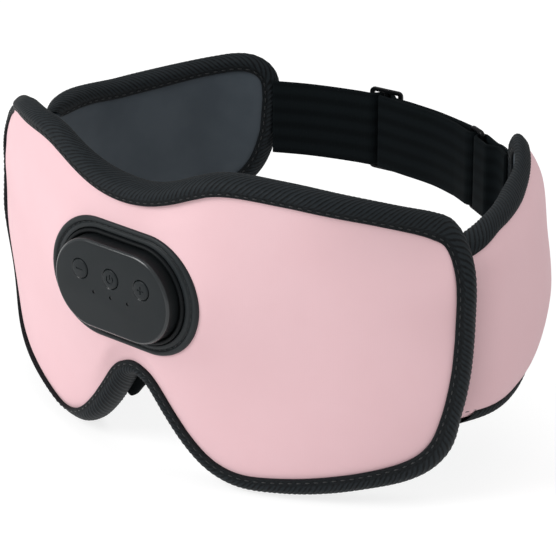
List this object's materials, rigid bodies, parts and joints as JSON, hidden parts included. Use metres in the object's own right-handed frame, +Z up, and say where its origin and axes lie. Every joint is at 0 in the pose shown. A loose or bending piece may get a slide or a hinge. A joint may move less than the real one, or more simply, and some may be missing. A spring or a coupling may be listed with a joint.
{
  "type": "eye massager mask",
  "caption": "Padded wrap-round eye mask with bound edges, hinged side wings, an adjustable elastic strap and a snap-in control pod with keys.",
  "frame": {"origin": "on the surface that the mask stands on, under the middle of its overall box", "axes": "+X to the right across the face as seen from the front, +Z up, -Y towards the front"},
  "size_m": [0.1892, 0.1467, 0.1024],
  "materials": {
    "blush_cloth": "soft matt cloth",
    "black_webbing": "ribbed webbing",
    "slate_lining": "satin cloth",
    "foam": "open foam",
    "heater_film": "thin film",
    "flat_cable": "flat cable",
    "steel": "plain",
    "gold_contact": "bright",
    "charcoal_plastic": "satin",
    "black_plastic": "satin",
    "circuit_board": "solder mask",
    "clear_plastic": "clear",
    "battery_foil": "foil wrap"
  },
  "bodies": {
    "mask_front": {"front_cover": "blush_cloth", "front_foam": "foam", "front_lining": "slate_lining", "front_binding": "black_webbing", "nose_flap": "black_webbing", "heater_film_left": "heater_film", "heater_film_right": "heater_film", "wiring_harness": "flat_cable", "motor_case_left": "steel", "motor_case_right": "steel", "dock_flange": "charcoal_plastic", "dock_frame": "charcoal_plastic", "dock_contact_board": "circuit_board", "dock_contacts": "gold_contact", "dock_back_plate": "black_plastic", "dock_magnets": "steel", "dock_screws": "steel", "left_seam_tape": "black_webbing", "right_seam_tape": "black_webbing", "strap_long_run": "black_webbing", "strap_loop": "black_webbing"},
    "left_wing": {"left_wing_cover": "blush_cloth", "left_wing_foam": "foam", "left_wing_lining": "slate_lining", "left_wing_binding": "black_webbing"},
    "right_wing": {"right_wing_cover": "blush_cloth", "right_wing_foam": "foam", "right_wing_lining": "slate_lining", "right_wing_binding": "black_webbing", "strap_tab": "black_webbing"},
    "pod": {"pod_front_cover": "charcoal_plastic", "pod_rear_cover": "charcoal_plastic", "pod_circuit_board": "circuit_board", "pod_switches": "steel", "pod_leds": "clear_plastic", "pod_light_guides": "clear_plastic", "pod_battery": "battery_foil", "pod_usb_socket": "steel", "pod_pogo_pins": "gold_contact", "pod_magnets": "steel", "pod_screws": "steel"},
    "minus_key": {"minus_button": "charcoal_plastic"},
    "power_key": {"power_button": "charcoal_plastic"},
    "plus_key": {"plus_button": "charcoal_plastic"},
    "slider": {"strap_slider": "black_plastic"},
    "ring": {"strap_ring": "charcoal_plastic"},
    "left_rotor": {"motor_rotor_left": "steel"},
    "right_rotor": {"motor_rotor_right": "steel"}
  },
  "joints": [
    {"name": "left_wing_fold", "type": "hinge", "parent": "mask_front", "child": "left_wing", "pos_m": [-0.0803, -0.01759, 0.0634], "axis": [0, 0, -1], "range_deg": [-6, 20], "stiffness_Nm_per_rad": 0.05, "deforming": ["left_seam_tape", "strap_long_run"]},
    {"name": "right_wing_fold", "type": "hinge", "parent": "mask_front", "child": "right_wing", "pos_m": [0.0803, -0.01759, 0.0634], "axis": [0, 0, 1], "range_deg": [-6, 20], "stiffness_Nm_per_rad": 0.05, "deforming": ["right_seam_tape", "strap_loop"]},
    {"name": "pod_release", "type": "slide", "parent": "mask_front", "child": "pod", "axis": [0, -1, 0], "range_m": [0, 0.012]},
    {"name": "minus_press", "type": "slide", "parent": "pod", "child": "minus_key", "axis": [0, 1, 0], "range_m": [0, 0.0004], "stiffness_N_per_m": 400},
    {"name": "power_press", "type": "slide", "parent": "pod", "child": "power_key", "axis": [0, 1, 0], "range_m": [0, 0.0004], "stiffness_N_per_m": 400},
    {"name": "plus_press", "type": "slide", "parent": "pod", "child": "plus_key", "axis": [0, 1, 0], "range_m": [0, 0.0004], "stiffness_N_per_m": 400},
    {"name": "slider_travel", "type": "hinge", "parent": "mask_front", "child": "slider", "pos_m": [0, -0.01059, 0.0634], "axis": [0, 0, -1], "range_deg": [-10, 16], "deforming": ["strap_long_run", "strap_loop"]},
    {"name": "ring_swing", "type": "hinge", "parent": "right_wing", "child": "ring", "pos_m": [0.03263, 0.06216, 0.0634], "axis": [0, 0, 1], "range_deg": [-8, 8], "stiffness_Nm_per_rad": 0.001, "deforming": ["strap_loop"]},
    {"name": "left_motor_spin", "type": "hinge", "parent": "mask_front", "child": "left_rotor", "pos_m": [-0.04902, -0.05634, 0.0735], "axis": [0.4063, 0.9138, 0], "continuous": true},
    {"name": "right_motor_spin", "type": "hinge", "parent": "mask_front", "child": "right_rotor", "pos_m": [0.04902, -0.05634, 0.0735], "axis": [-0.4063, 0.9138, 0], "continuous": true}
  ]
}
